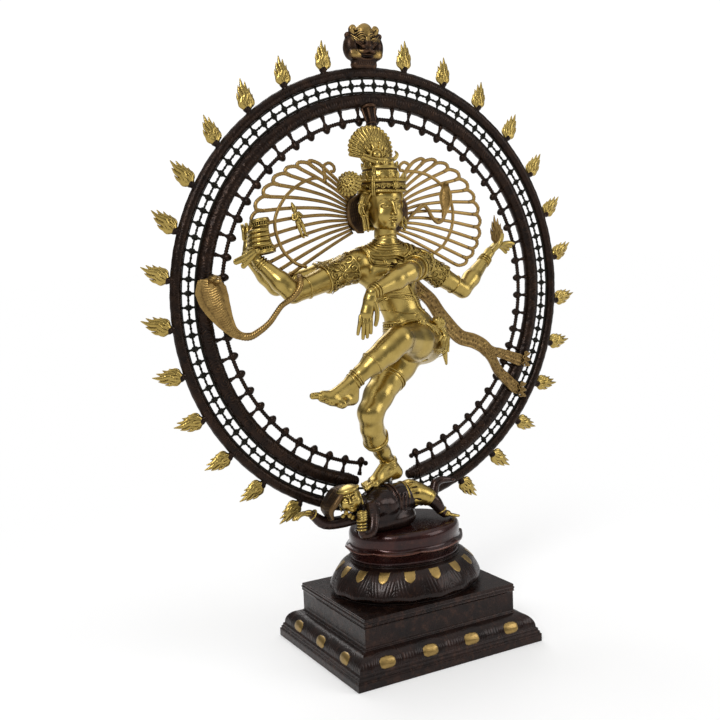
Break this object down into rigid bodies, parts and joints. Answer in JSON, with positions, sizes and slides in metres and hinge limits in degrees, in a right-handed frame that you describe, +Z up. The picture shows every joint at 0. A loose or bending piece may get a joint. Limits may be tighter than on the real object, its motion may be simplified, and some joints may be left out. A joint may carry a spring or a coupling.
{
  "type": "brass nataraja statue",
  "caption": "Cast brass dancing figure with hair fans, cobra and hand drum, inside a patinated ring of flames on an oval lotus and stepped plinth",
  "frame": {"origin": "middle of the plinth's underside", "axes": "+Z up, -Y the side the figure faces, +X the figure's left"},
  "size_m": [0.992, 0.334, 1.2211],
  "materials": {
    "gold_brass": "polished",
    "dark_patina": "patinated",
    "red_patina": "polished",
    "steel_fixings": "brushed"
  },
  "bodies": {
    "root": {"plinth": "dark_patina", "lotus_base": "dark_patina", "upper_pedestal": "red_patina", "pedestal_studs": "steel_fixings", "pedestal_nuts": "steel_fixings", "dwarf_body": "dark_patina", "dwarf_head": "gold_brass", "dwarf_arms": "dark_patina", "dwarf_legs": "dark_patina", "dwarf_shorts": "gold_brass", "dwarf_screws": "steel_fixings", "outer_tube": "dark_patina", "lattice_band": "dark_patina", "middle_tube": "dark_patina", "spindle_rail": "dark_patina", "ring_saddle": "dark_patina", "saddle_screws": "steel_fixings", "flames_right": "gold_brass", "flames_left": "gold_brass", "flame_pins": "dark_patina", "top_mask": "dark_patina", "mask_screws": "steel_fixings", "crown_bracket": "dark_patina", "torso": "gold_brass", "standing_leg": "gold_brass", "raised_leg": "gold_brass", "foot_stud": "steel_fixings", "foot_nut": "steel_fixings", "front_right_arm": "gold_brass", "rear_right_arm": "gold_brass", "front_left_arm": "gold_brass", "rear_left_arm": "gold_brass", "head": "gold_brass", "crown": "gold_brass", "crown_feathers": "gold_brass", "ear_flower": "gold_brass", "earrings": "gold_brass", "necklaces": "gold_brass", "waist_belt": "gold_brass", "hip_tassels": "gold_brass", "armlets": "gold_brass", "bangles": "gold_brass", "anklets": "gold_brass", "hair_fan_right": "gold_brass", "hair_fan_left": "gold_brass", "fan_figurine": "gold_brass", "fan_cobra": "gold_brass", "hand_drum": "gold_brass", "drum_ribbon": "gold_brass", "palm_flame": "gold_brass", "arm_cobra": "gold_brass", "sash": "gold_brass"}
  },
  "joints": []
}
